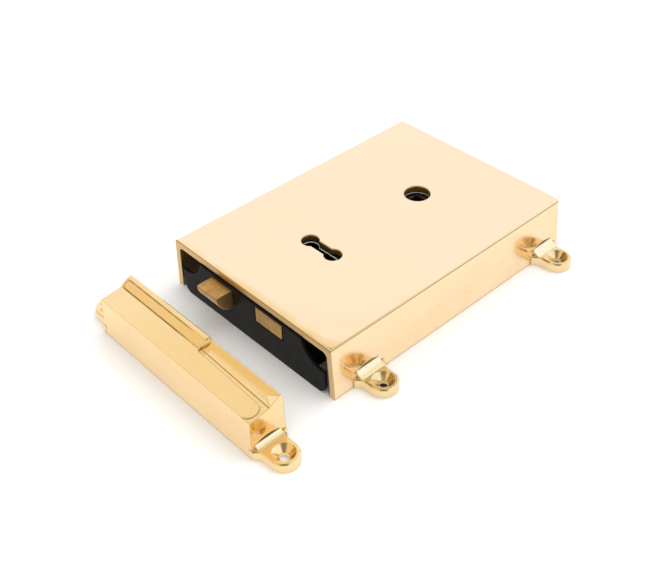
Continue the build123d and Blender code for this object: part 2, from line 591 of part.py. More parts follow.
def make_keep():
    """Box keep, cast hollow: open behind and towards the lock, with a lip along its mouth."""
    left, right = KEEP_X - KEEP_HALF_LENGTH, KEEP_X + KEEP_HALF_LENGTH
    blend = KEEP_JOG_X - KEEP_JOG_RUN
    body = along_x(keep_section(KEEP_TOP_REAR_Y, False), left, blend)
    scoop_start = Pos(blend, KEEP_FRONT, 0) * keep_section(KEEP_SCOOP_Y0, True)
    scoop_end = Pos(right, KEEP_FRONT, 0) * keep_section(KEEP_SCOOP_Y1, True)
    body += loft([scoop_start, scoop_end], ruled=True)
    corner = (KEEP_TOP_REAR_Y + 0.5, KEEP_TOP_REAR + 0.9)
    lip_top = (KEEP_LIP_Y + 2.2, KEEP_HEIGHT)
    cheek = make_face(Polyline((13.2, 20.6), (18.9, 24.0), lip_top, (KEEP_LIP_Y, KEEP_LIP_Z), corner, close=True))
    tip = make_face(Polyline((17.8, 23.6), (18.8, 23.8), (18.5, 24.5), (18.1, 24.6), (17.8, 24.3), close=True))
    cheek = Pos(blend, KEEP_FRONT, 0) * (Plane.YZ * cheek)
    tip = Pos(KEEP_JOG_X, KEEP_FRONT, 0) * (Plane.YZ * tip)
    body += loft([cheek, tip], ruled=True)
    body -= panel_rebate(blend, right)
    body += scoop_web(KEEP_X + KEEP_HALF_LENGTH_TOP + 0.3)
    body &= keep_ends(0)
    body -= along_x(keep_hollow(), left, right) & keep_ends(KEEP_WALL)

    wall_at_ear = KEEP_HALF_LENGTH - (KEEP_HALF_LENGTH - KEEP_HALF_LENGTH_TOP) * EAR_THICKNESS / KEEP_END_HEIGHT
    ear_body, hole = ear(KEEP_EAR_X - wall_at_ear, KEEP_COVE_RADIUS)
    for turn, sign in ((0, 1), (180, -1)):
        place = Pos(KEEP_X + sign * KEEP_EAR_X, KEEP_FRONT + KEEP_DEPTH / 2) * Rot(0, 0, turn)
        body = body + place * ear_body - place * hole
    return body


NODES = {
    "cover": make_cover(),
    "keep": make_keep(),
    "lock_case": make_lock_case(),
    "back_plate": make_back_plate(),
    "forend_plate": make_forend_plate(),
    "case_pillars": make_case_pillars(),
    "cap_screws": make_cap_screws(),
    "latch_head": make_latch_head(),
    "latch_tail": make_latch_tail(),
    "latch_rivet": latch_rivet(),
    "latch_spring_rod": make_latch_spring_rod(),
    "latch_spring": make_latch_spring(),
    "latch_bracket": make_latch_bracket(),
    "tail_guide": make_tail_guide(),
    "follower": make_follower(),
    "deadbolt_head": make_deadbolt_head(),
    "deadbolt_tail": make_deadbolt_tail(),
    "deadbolt_rivets": Compound(children=deadbolt_rivets()),
    "deadbolt_stump": make_deadbolt_stump(),
    "bolt_guide": make_bolt_guide(),
    "lever_pivot": make_lever_pivot(),
    "lever_spacer": make_lever_spacer(),
}
for number in range(3):
    NODES[f"lever_{number + 1}"] = make_lever(number)
    NODES[f"lever_spring_{number + 1}"] = make_lever_spring(number)

os.makedirs("parts", exist_ok=True)
for name, solid in NODES.items():
    export_step(solid, f"parts/{name}.step")
    size = solid.bounding_box().size
    print(f"{name:18s} {size.X:7.2f} {size.Y:7.2f} {size.Z:7.2f}  volume {solid.volume:9.1f}  solids {len(solid.solids())}")
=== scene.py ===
"""Finishes, light and camera for a brass rim lock cover with its lock and keep."""

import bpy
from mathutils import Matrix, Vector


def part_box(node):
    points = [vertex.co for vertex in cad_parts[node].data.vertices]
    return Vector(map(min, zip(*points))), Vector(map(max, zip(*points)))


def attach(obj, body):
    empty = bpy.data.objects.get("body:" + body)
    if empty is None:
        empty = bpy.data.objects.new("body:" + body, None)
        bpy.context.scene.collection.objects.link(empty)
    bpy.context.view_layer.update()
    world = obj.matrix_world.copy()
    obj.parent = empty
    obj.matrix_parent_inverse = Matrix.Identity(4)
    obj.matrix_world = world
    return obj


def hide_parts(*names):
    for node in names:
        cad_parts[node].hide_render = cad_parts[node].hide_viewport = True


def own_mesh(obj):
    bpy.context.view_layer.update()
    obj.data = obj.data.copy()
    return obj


bl_info = {
    "name": "Rim lock",
    "version": (1, 0, 0),
    "blender": (4, 5, 0),
    "location": "View3D > Sidebar > Rim lock",
    "description": "Polished cast brass cover and keep around a black enamelled lock",
    "category": "Object",
}

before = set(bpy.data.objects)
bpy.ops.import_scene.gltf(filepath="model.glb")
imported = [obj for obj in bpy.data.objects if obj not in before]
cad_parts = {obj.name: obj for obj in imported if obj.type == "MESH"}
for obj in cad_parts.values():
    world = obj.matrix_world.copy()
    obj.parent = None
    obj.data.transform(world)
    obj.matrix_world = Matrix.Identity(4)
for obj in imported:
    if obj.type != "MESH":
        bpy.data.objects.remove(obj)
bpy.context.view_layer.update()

import math

import bmesh
import bpy
from bpy.props import FloatProperty, FloatVectorProperty, IntProperty, PointerProperty
from mathutils import Matrix, Vector

# Directions of the camera's view and of its right side.
FORWARD = Vector((-0.5676, 0.5103, -0.6460))
RIGHT = Vector((0.6826, 0.7304, -0.0228))
SENSOR_WIDTH = 36.0
CLIP_NEAR = 0.01
CLIP_FAR = 50.0

# All sizes below are in metres. A mask's box stands out from the solid by PAST, or holds a skin of it by SKIN.
PAST = 0.001
SKIN = 0.0002

# The ears: their length, the cover's screw holes from its middle, their top face, their half width and their arc.
EAR_REACH = 0.0159
EAR_ACROSS = 0.0658
EAR_ALONG = 0.0621
EAR_DECK = 0.0050
EAR_HALF = 0.0070
EAR_ARC_RISE = 0.0017
EAR_GLEAM_OUT = 0.62
EAR_GLEAM_UP = 0.78

# The cover and the case, where their finishes follow the solids. Holes are areas as (x, y) of two corners.
SHELL_WALL = 0.0028
COVER_REAR_WALL = 0.0042
COVER_ROOF = 0.0031
COVER_EAR_WALL = 0.05656
COVER_COVE = 0.0030
COVER_TOP_EDGE = 0.0012
COVER_EDGE_INSET = 0.0014
COVER_HOLES = ((-0.02, -0.05), (0.02, 0.04))
COVER_HOLE_DEPTHS = (0.0050, 0.0004)
CASE_HOLES = ((-0.03, -0.06), (0.03, 0.05))
CASE_RIM = 0.0006

# The keep: its pocket, the band on its left lip and the jog between its two lips.
KEEP_FRONT_WALL = 0.0024
KEEP_POCKET_ROOF = 0.0188
KEEP_EAR_WALL = 0.0544
KEEP_COVE = 0.0018
BAND_START = 0.0045
BAND_END = 0.009
BAND_MIDDLE = 0.0144
BAND_HALF = 0.0018
BAND_FLOOR = 0.0205
JOG_PLACE = 0.0082
JOG_HALF = 0.0024
JOG_FRONT = 0.0122
JOG_REAR = 0.0016
JOG_HEIGHTS = (0.0200, 0.0300)
JOG_SLOPE = (0.0, -0.614, 0.789)

# The floor: its half width, where the lock covers it, and the distances over which its painted shadow in a screw
# hole fades.
FLOOR_HALF = 3.0
UNDER_LOCK = ((-0.057, -0.083, -1.0), (0.057, 0.076, 1.0))
SCREW_SHADE = (0.0048, 0.0032)

# Roughness: what a dull or a raw face adds to that of a polished one, and the smoothest of each other finish.
DULL_ROUGHNESS = 0.30
RAW_ROUGHNESS = 0.42
ENAMEL_ROUGHNESS = 0.30
BOLT_ROUGHNESS = 0.36
LEVER_ROUGHNESS = 0.30
STEEL_ROUGHNESS = 0.34
WIRE_ROUGHNESS = 0.26

# Heights of small relief, after the share of the grain's height that a pit goes down.
PIT_SHARE = 0.30
GRAIN_HEIGHT = 0.00025
IRON_HEIGHT = 0.00010
FILE_HEIGHT = 0.00004
ENAMEL_WAVES = 0.00003
ENAMEL_PEEL = 0.00002
DRAWN_HEIGHT = 0.00002

WHITE = (1, 1, 1, 1)
HOLLOW_PAINTED_HIGHLIGHT = (1.0, 0.91, 0.62, 1)
HOLE_PAINTED_SHADOW = (0.05, 0.03, 0.015, 1)
BARE_METAL_AND_GLINT = (0.95, 0.94, 0.92, 1)
HOUSE_DUST = (0.012, 0.009, 0.007, 1)
OLD_OIL_AND_SHADE = (0.05, 0.04, 0.03, 1)

# What the polished metal mirrors of the light tent, by direction.
TENT_LIGHT = (1.0, 0.99, 0.97, 1)
TENT_WALL = (1.0, 1.05, 1.20, 1)
TENT_ROOF = (0.93, 0.88, 0.76, 1)
TENT_CROWN = (0.60, 0.56, 0.46, 1)
TENT_NEAR_SIDE = (0.85, 0.70, 0.44, 1)
TENT_SEAM = (0.34, 0.31, 0.24, 1)
TENT_OPENING = (0.24, 0.22, 0.17, 1)
SEAM_HEIGHT = 0.86

KEY_PLACE = (0.25, 0.40, 1.05)
KEY_TARGET = (0, -0.02, 0)
KEY_SIZE = 1.1


# ---- values a user would change ----

class CastBrass(bpy.types.PropertyGroup):
    """Brass of the cover and the keep."""
    colour: FloatVectorProperty(
        name="Colour", description="Colour of the polished brass", subtype="COLOR",
        size=3, min=0, max=1, default=(0.985, 0.755, 0.475))
    keep_colour: FloatVectorProperty(
        name="Keep colour", description="Colour of the keep's brass, which is a little yellower",
        subtype="COLOR", size=3, min=0, max=1, default=(0.97, 0.74, 0.39))
    # The cover's ears are painted in this darker colour as painted shade.
    ear_colour: FloatVectorProperty(
        name="Ear colour", description="Colour of the cover's ears, which the wheel reaches less",
        subtype="COLOR", size=3, min=0, max=1, default=(0.90, 0.69, 0.37))
    copper: FloatVectorProperty(
        name="Copper", description="Colour of the patches where the skin of the casting still shows",
        subtype="COLOR", size=3, min=0, max=1, default=(0.96, 0.64, 0.35))
    # Olive is also the colour of the painted shade in the corners, the creases, the edge roundings, the arc over the
    # ears' hollows and the line on the keep's lip.
    olive: FloatVectorProperty(
        name="Olive", description="Colour of the tarnish and polish left in the creases", subtype="COLOR",
        size=3, min=0, max=1, default=(0.30, 0.22, 0.085))
    # Deep colour is also painted along the edges as a dark edge line, which is painted shade.
    deep_colour: FloatVectorProperty(
        name="Deep colour", description="Colour of the edges and corners that the wheel misses", subtype="COLOR",
        size=3, min=0, max=1, default=(0.60, 0.40, 0.16))
    raw_colour: FloatVectorProperty(
        name="Raw colour", description="Colour of the rough skin inside the casting", subtype="COLOR",
        size=3, min=0, max=1, default=(0.46, 0.32, 0.14))
    roughness: FloatProperty(
        name="Roughness", description="Roughness of the polished faces", min=0, max=1, default=0.10)
    ripple: FloatProperty(
        name="Ripple", description="Height of the waves left by the polishing wheel",
        subtype="DISTANCE", unit="LENGTH", min=0, default=0.0001)
    edge: FloatProperty(
        name="Edge", description="Radius that polishing leaves on the sharp edges",
        subtype="DISTANCE", unit="LENGTH", min=0, default=0.0005)
    roll_off: FloatProperty(
        name="Roll-off", description="How deep the wheel has rolled the top over at the open front",
        subtype="DISTANCE", unit="LENGTH", min=0, default=0.003)


class LockMetals(bpy.types.PropertyGroup):
    """Metals and enamel of the lock itself."""
    bolt: FloatVectorProperty(
        name="Bolts", description="Colour of the sawn and filed bolts", subtype="COLOR",
        size=3, min=0, max=1, default=(0.68, 0.40, 0.13))
    lever: FloatVectorProperty(
        name="Levers", description="Colour of the stamped sheet brass", subtype="COLOR",
        size=3, min=0, max=1, default=(0.72, 0.50, 0.22))
    enamel: FloatVectorProperty(
        name="Enamel", description="Colour of the black stoved enamel", subtype="COLOR",
        size=3, min=0, max=1, default=(0.0046, 0.0040, 0.0036))
    iron: FloatVectorProperty(
        name="Iron", description="Colour of the cast iron follower", subtype="COLOR",
        size=3, min=0, max=1, default=(0.16, 0.13, 0.11))
    steel: FloatVectorProperty(
        name="Steel", description="Colour of the plain steel pieces", subtype="COLOR",
        size=3, min=0, max=1, default=(0.42, 0.41, 0.40))


class LatchSpring(bpy.types.PropertyGroup):
    """The round wire of the latch's compression spring, in metres."""
    wire: FloatProperty(
        name="Wire radius", description="Radius of the wire",
        subtype="DISTANCE", unit="LENGTH", min=0.0001, default=0.00045)
    turns: IntProperty(name="Turns", description="Turns of the coil", min=1, default=7)
    steps: IntProperty(name="Steps", description="Rings of the wire in one turn", min=8, default=32)
    sides: IntProperty(name="Sides", description="Sides of the wire", min=6, default=10)
    seat: FloatProperty(
        name="Seat", description="Y of the bracket that the coil is pushed against",
        subtype="DISTANCE", unit="LENGTH", default=-0.0549)
    room: FloatProperty(
        name="Room", description="Distance from the bracket to the latch head at rest",
        subtype="DISTANCE", unit="LENGTH", min=0.001, default=0.0183)
    travel: FloatProperty(
        name="Travel", description="Way of the latch into the case",
        subtype="DISTANCE", unit="LENGTH", min=0, default=0.0092)


class StudioStage(bpy.types.PropertyGroup):
    """Camera, floor and light."""
    eye: FloatVectorProperty(
        name="Camera", description="Place of the camera", subtype="TRANSLATION", unit="LENGTH",
        size=3, default=(0.2833, -0.2863, 0.3189))
    lens: FloatProperty(
        name="Lens", description="Focal length on a 36 mm sensor", min=10, default=54.23)
    floor: FloatVectorProperty(
        name="Floor", description="Colour of the floor", subtype="COLOR",
        size=3, min=0, max=1, default=(0.97, 0.97, 0.97))
    clean: FloatProperty(
        name="Clean floor", description="Share of plain white in what the metal mirrors of the floor",
        subtype="FACTOR", min=0, max=1, default=0.6)
    sky: FloatProperty(
        name="Sky", description="Strength of the even light from all round", min=0, default=1.05)
    key: FloatProperty(
        name="Key", description="Power of the large soft lamp", subtype="POWER", unit="POWER",
        min=0, default=4.5)


# ---- node helpers ----

def add(tree, kind, **settings):
    """A new node of a kind, with its settings."""
    node = tree.nodes.new(kind)
    for key, value in settings.items():
        setattr(node, key, value)
    return node


def feed(tree, socket, source):
    """Sets an input to a value, or links it where the source is a socket."""
    if isinstance(source, bpy.types.NodeSocket):
        tree.links.new(source, socket)
    else:
        socket.default_value = source


def maths(tree, operation, a, b=0.0, clamp=False):
    """One step of arithmetic with sockets or values."""
    node = add(tree, "ShaderNodeMath", operation=operation, use_clamp=clamp)
    feed(tree, node.inputs[0], a)
    feed(tree, node.inputs[1], b)
    return node.outputs[0]


def product(tree, first, *others):
    """Sockets or values multiplied from left to right."""
    for other in others:
        first = maths(tree, "MULTIPLY", first, other)
    return first


def minus(tree, a, b):
    """a less b."""
    return maths(tree, "SUBTRACT", a, b)


def absolute(tree, value):
    """A value without its sign."""
    return maths(tree, "ABSOLUTE", value)


def diagonal(tree, a, b):
    """The length over two sides at right angles."""
    return maths(tree, "SQRT", maths(tree, "ADD", maths(tree, "POWER", a, 2.0), maths(tree, "POWER", b, 2.0)))


def ramp(tree, value, low, high, start=0.0, end=1.0):
    """Takes a value from low..high to start..end, and stops at both ends."""
    node = add(tree, "ShaderNodeMapRange", clamp=True)
    names = ("Value", "From Min", "From Max", "To Min", "To Max")
    for name, source in zip(names, (value, low, high, start, end)):
        feed(tree, node.inputs[name], source)
    return node.outputs["Result"]


def blend(tree, factor, a, b):
    """The colour a, which gives way to the colour b by a factor."""
    node = add(tree, "ShaderNodeMix", data_type="RGBA")
    feed(tree, node.inputs["Factor"], factor)
    feed(tree, node.inputs[6], a)
    feed(tree, node.inputs[7], b)
    return node.outputs[2]


def paint(colour, share=1.0):
    """A colour for a socket, darker or brighter by a share."""
    return (*(min(1.0, share * part) for part in colour), 1)


def coats(tree, body, *layers):
    """Lays colours over a body, each given as (mask, share, colour)."""
    for mask, share, colour in layers:
        body = blend(tree, product(tree, mask, share), body, colour)
    return body


def object_place(tree):
    """A point's place in the part, in metres."""
    return add(tree, "ShaderNodeTexCoord").outputs["Object"]


def axes(tree, vector):
    """The X, Y and Z of a vector."""
    node = add(tree, "ShaderNodeSeparateXYZ")
    feed(tree, node.inputs[0], vector)
    return node.outputs


def facing_up(tree):
    """How far a face looks up: 1 for a level face, 0 for a wall."""
    return axes(tree, add(tree, "ShaderNodeNewGeometry").outputs["Normal"])["Z"]


def noise(tree, place, size, detail=2.0, stretch=(1, 1, 1)):
    """Noise whose features are about size metres wide."""
    shift = add(tree, "ShaderNodeMapping")
    feed(tree, shift.inputs["Vector"], place)
    shift.inputs["Scale"].default_value = [1 / (size * s) for s in stretch]
    node = add(tree, "ShaderNodeTexNoise")
    feed(tree, node.inputs["Vector"], shift.outputs[0])
    node.inputs["Scale"].default_value = 1.0
    node.inputs["Detail"].default_value = detail
    return node.outputs["Fac"]


def cells(tree, place, width, feature):
    """Distance from the middles of a cell pattern whose cells are about width metres wide."""
    shift = add(tree, "ShaderNodeVectorMath", operation="SCALE")
    feed(tree, shift.inputs[0], place)
    feed(tree, shift.inputs["Scale"], maths(tree, "DIVIDE", 1.0, width))
    node = add(tree, "ShaderNodeTexVoronoi", feature=feature)
    feed(tree, node.inputs["Vector"], shift.outputs[0])
    node.inputs["Scale"].default_value = 1.0
    return node.outputs["Distance"]


def new_group(name, inputs, floats, vectors=()):
    """A shader node group, as (tree, its inputs, its outputs).

    inputs gives each input its default value, and floats and vectors name the outputs.
    """
    tree = bpy.data.node_groups.new(name, "ShaderNodeTree")
    for label, default in inputs.items():
        kind = "NodeSocketVector" if isinstance(default, tuple) else "NodeSocketFloat"
        socket = tree.interface.new_socket(label, in_out="INPUT", socket_type=kind)
        socket.default_value = default
    for label in floats:
        tree.interface.new_socket(label, in_out="OUTPUT", socket_type="NodeSocketFloat")
    for label in vectors:
        tree.interface.new_socket(label, in_out="OUTPUT", socket_type="NodeSocketVector")
    return tree, tree.nodes.new("NodeGroupInput").outputs, tree.nodes.new("NodeGroupOutput").inputs


def place_group(tree, name, **values):
    """The outputs of a shared effect that is placed with these inputs."""
    node = tree.nodes.new("ShaderNodeGroup")
    node.node_tree = bpy.data.node_groups[name]
    for key, value in values.items():
        feed(tree, node.inputs[key], value)
    return node.outputs


# ---- effects that several finishes share ----

def make_wheel_polish():
    """Waves, haze and hairlines that a polishing wheel leaves."""
    tree, given, out = new_group(
        "Wheel polish", {"Ripple": 0.5, "Hairlines": 0.3, "Haze": 0.04}, ("Height", "Roughness", "Mottle"))
    place = object_place(tree)
    broad = product(tree, noise(tree, place, 0.028, 1.0), 2.0)
    close = product(tree, noise(tree, place, 0.006, 2.0), 0.22)
    waves = product(tree, maths(tree, "ADD", broad, close), given["Ripple"])
    lines = noise(tree, place, 0.0007, 3.0, stretch=(0.6, 30, 0.6))
    marks = product(tree, lines, product(tree, given["Hairlines"], 0.02))
    feed(tree, out["Height"], maths(tree, "ADD", waves, marks))
    cloud = noise(tree, place, 0.014, 4.0)
    feed(tree, out["Roughness"], product(tree, ramp(tree, cloud, 0.35, 0.7), given["Haze"]))
    feed(tree, out["Mottle"], ramp(tree, noise(tree, place, 0.020, 5.0), 0.3, 0.75))


def make_soft_edges():
    """Normal rounded over the edges, and how near an edge is."""
    tree, given, out = new_group("Soft edges", {"Radius": 0.0006}, ("Edge",), ("Normal",))
    round_over = add(tree, "ShaderNodeBevel", samples=8)
    feed(tree, round_over.inputs["Radius"], given["Radius"])
    facing = add(tree, "ShaderNodeVectorMath", operation="DOT_PRODUCT")
    feed(tree, facing.inputs[0], round_over.outputs[0])
    feed(tree, facing.inputs[1], add(tree, "ShaderNodeNewGeometry").outputs["Normal"])
    feed(tree, out["Normal"], round_over.outputs[0])
    feed(tree, out["Edge"], ramp(tree, facing.outputs["Value"], 0.995, 0.80))


def make_corner_grime_and_shade():
    """Where polish and dust gather and where shade is painted: in the corners and holes, found by occlusion."""
    tree, given, out = new_group("Corner grime and shade", {"Reach": 0.004, "Open": 0.75, "Shut": 0.15}, ("Grime and shade",))
    hidden = add(tree, "ShaderNodeAmbientOcclusion", samples=8)
    feed(tree, hidden.inputs["Distance"], given["Reach"])
    patch = ramp(tree, noise(tree, object_place(tree), 0.003, 4.0), 0.25, 0.7, 0.55, 1.0)
    deep = ramp(tree, hidden.outputs["AO"], given["Open"], given["Shut"])
    feed(tree, out["Grime and shade"], product(tree, deep, patch))


def make_sand_skin():
    """Grain of a face that came out of the sand mould and was never polished."""
    tree, given, out = new_group("Sand skin", {"Grain": 0.0007}, ("Height", "Shade"))
    place = object_place(tree)
    grains = cells(tree, place, given["Grain"], "SMOOTH_F1")
    bumps = noise(tree, place, 0.004, 5.0)
    feed(tree, out["Height"], maths(tree, "ADD", product(tree, grains, 0.5), bumps))
    feed(tree, out["Shade"], ramp(tree, maths(tree, "ADD", grains, bumps), 0.5, 1.3))


def make_casting_pits():
    """Small pits that the wheel has not taken out, in patches."""
    tree, given, out = new_group("Casting pits", {"Spacing": 0.0016, "Amount": 1.0}, ("Pits", "Patch"))
    place = object_place(tree)
    patch = product(tree, ramp(tree, noise(tree, place, 0.025, 3.0), 0.44, 0.60), given["Amount"])
    pit = ramp(tree, cells(tree, place, given["Spacing"], "F1"), 0.30, 0.12)
    feed(tree, out["Pits"], product(tree, pit, patch))
    feed(tree, out["Patch"], patch)


def make_rolled_front():
    """Height of the cover's flat top, which the wheel has rolled over at the open front and its two corners."""
    tree, given, out = new_group(
        "Rolled front", {"Front": 0.0, "Side": 0.05, "Reach": 0.012, "Start": 0.62, "Depth": 0.003}, ("Height",))
    place = object_place(tree)
    split = axes(tree, place)
    waver = product(tree, minus(tree, noise(tree, place, 0.02, 1.0), 0.5), 0.006)
    from_front = maths(tree, "ADD", minus(tree, split["Y"], given["Front"]), waver)
    from_side = minus(tree, given["Side"], absolute(tree, split["X"]))
    shares = []
    for distance, weight in ((from_front, 1.0), (from_side, 0.66)):
        near = maths(tree, "MAXIMUM", minus(tree, given["Reach"], distance), 0.0)
        shares.append(product(tree, maths(tree, "DIVIDE", near, given["Reach"]), weight))
    past = maths(tree, "MAXIMUM", minus(tree, diagonal(tree, *shares), given["Start"]), 0.0)
    drop = product(tree, maths(tree, "POWER", past, 2.0), given["Depth"])
    flat_top = maths(tree, "GREATER_THAN", facing_up(tree), 0.98)
    feed(tree, out["Height"], product(tree, drop, -1.0, flat_top))


def make_file_marks():
    """Straight close lines of a saw or a file."""
    tree, _, out = new_group("File marks", {}, ("Height", "Shade"))
    place = object_place(tree)
    fine = noise(tree, place, 0.00035, 3.0, stretch=(40, 1, 1))
    wide = noise(tree, place, 0.0035, 4.0)
    feed(tree, out["Height"], maths(tree, "ADD", fine, product(tree, wide, 0.5)))
    feed(tree, out["Shade"], ramp(tree, maths(tree, "ADD", fine, wide), 0.6, 1.4))


def make_ear_hollow():
    """Where an ear's hollow rounding meets its wall: the hollow, which takes a painted highlight, the arc over it,
    which takes painted shade, and the whole ear.

    Out is the direction in which the hollow gleams.
    """
    tree, given, out = new_group(
        "Ear hollow", {"Centre": (0, 0, 0), "Wall": 0.05, "Spread": 0.0, "Cove": 0.003},
        ("Hollow", "Arc", "Ear"), ("Out",))
    shift = add(tree, "ShaderNodeVectorMath", operation="SUBTRACT")
    feed(tree, shift.inputs[0], object_place(tree))
    feed(tree, shift.inputs[1], given["Centre"])
    split = axes(tree, shift.outputs[0])
    from_wall = minus(tree, absolute(tree, split["X"]), given["Wall"])
    aside = absolute(tree, minus(tree, absolute(tree, split["Y"]), given["Spread"]))
    above = minus(tree, split["Z"], EAR_DECK)

    across = ramp(tree, aside, EAR_HALF + 0.0002, EAR_HALF - 0.0001)
    top = maths(tree, "ADD", given["Cove"], 0.0001)
    low = product(tree, ramp(tree, above, -0.0006, -0.0002), maths(tree, "LESS_THAN", above, top))
    near = ramp(tree, minus(tree, from_wall, given["Cove"]), 0.0014, 0.0002)
    feed(tree, out["Hollow"], product(tree, low, near, across))

    share = maths(tree, "DIVIDE", aside, EAR_HALF)
    rise = product(tree, minus(tree, 1.0, maths(tree, "POWER", share, 2.0)), EAR_ARC_RISE)
    over = minus(tree, above, given["Cove"])
    under_arc = ramp(tree, minus(tree, rise, over), -0.0001, 0.0002)
    on_wall = maths(tree, "LESS_THAN", from_wall, 0.001)
    feed(tree, out["Arc"], product(tree, ramp(tree, over, -0.0005, 0.0), under_arc, on_wall))
    feed(tree, out["Ear"], ramp(tree, from_wall, 0.0002, 0.0012))

    gleam = add(tree, "ShaderNodeCombineXYZ")
    feed(tree, gleam.inputs["X"], product(tree, maths(tree, "SIGN", split["X"]), EAR_GLEAM_OUT))
    feed(tree, gleam.inputs["Z"], EAR_GLEAM_UP)
    feed(tree, out["Out"], gleam.outputs[0])


def make_lip_outline():
    """Thin painted shade line round the band on the keep's left lip, which has a round left end; it stands in for
    the band's edge and breaks up in patches.
    """
    tree, given, out = new_group(
        "Lip outline", {"Left": -0.05, "Right": 0.014, "Middle": 0.0, "Half": 0.002, "Floor": 0.02}, ("Line",))
    place = object_place(tree)
    split = axes(tree, place)
    past = maths(tree, "MAXIMUM", minus(tree, given["Left"], split["X"]), 0.0)
    off = minus(tree, split["Y"], given["Middle"])
    from_line = absolute(tree, minus(tree, diagonal(tree, past, off), given["Half"]))
    line = ramp(tree, from_line, 0.00028, 0.00010)
    worn = ramp(tree, noise(tree, place, 0.006, 2.0), 0.30, 0.55, 0.55, 1.0)
    kept = product(tree, ramp(tree, minus(tree, given["Right"], split["X"]), 0.0, 0.008), worn)
    on_lip = maths(tree, "GREATER_THAN", split["Z"], given["Floor"])
    feed(tree, out["Line"], product(tree, line, kept, on_lip))


def make_hole_shade():
    """Painted shadow on the floor at the bottom of the screw holes of the cover's four ears."""
    tree, given, out = new_group("Hole shade", {"Across": 0.066, "Along": 0.062}, ("Shade",))
    split = axes(tree, object_place(tree))
    off_x = minus(tree, absolute(tree, split["X"]), given["Across"])
    off_y = minus(tree, absolute(tree, split["Y"]), given["Along"])
    feed(tree, out["Shade"], ramp(tree, diagonal(tree, off_x, off_y), *SCREW_SHADE))


SHARED_EFFECTS = (make_wheel_polish, make_soft_edges, make_corner_grime_and_shade, make_sand_skin, make_casting_pits,
                  make_rolled_front, make_file_marks, make_ear_hollow, make_lip_outline, make_hole_shade)


# ---- finishes ----

def start_finish(name):
    """A material with its Principled shader linked to the output, as (material, tree, shader)."""
    material = bpy.data.materials.new(name)
    material.use_nodes = True
    tree = material.node_tree
    tree.nodes.clear()
    shader = add(tree, "ShaderNodeBsdfPrincipled")
    tree.links.new(shader.outputs[0], add(tree, "ShaderNodeOutputMaterial").inputs[0])
    return material, tree, shader


def set_surface(tree, shader, colour, roughness, normal, metallic=1.0):
    """Gives a Principled shader its four main inputs."""
    inputs = {"Base Color": colour, "Metallic": metallic, "Roughness": roughness, "Normal": normal}
    for name, source in inputs.items():
        feed(tree, shader.inputs[name], source)


def relief(tree, height, distance, normal):
    """The normal bent by a height, which stands out by a distance in metres."""
    node = add(tree, "ShaderNodeBump")
    feed(tree, node.inputs["Height"], height)
    feed(tree, node.inputs["Distance"], distance)
    feed(tree, node.inputs["Normal"], normal)
    return node.outputs["Normal"]


def inside_mask(tree, low, high):
    """1 inside a box of the part, 0 outside it."""
    split = axes(tree, object_place(tree))
    mask = 1.0
    for axis in range(3):
        above = maths(tree, "GREATER_THAN", split[axis], low[axis])
        below = maths(tree, "LESS_THAN", split[axis], high[axis])
        mask = product(tree, mask, product(tree, above, below))
    return mask


def low_band(tree, full, none):
    """1 below the height full, 0 above the height none."""
    return ramp(tree, axes(tree, object_place(tree))["Z"], none, full)


def rounded_edges(tree, height):
    """1 on the narrow roundings above a height, which lie neither flat nor upright."""
    up = facing_up(tree)
    not_flat = ramp(tree, up, 0.86, 0.72)
    not_upright = ramp(tree, up, 0.28, 0.45)
    above = maths(tree, "GREATER_THAN", axes(tree, object_place(tree))["Z"], height)
    return product(tree, not_flat, not_upright, above)


def turned(tree, normal, toward, mask, share):
    """The normal turned towards a direction by a share, where a mask says."""
    mix = add(tree, "ShaderNodeMix", data_type="VECTOR")
    feed(tree, mix.inputs[0], product(tree, mask, share))
    feed(tree, mix.inputs[4], normal)
    feed(tree, mix.inputs[5], toward)
    unit = add(tree, "ShaderNodeVectorMath", operation="NORMALIZE")
    feed(tree, unit.inputs[0], mix.outputs[1])
    return unit.outputs[0]


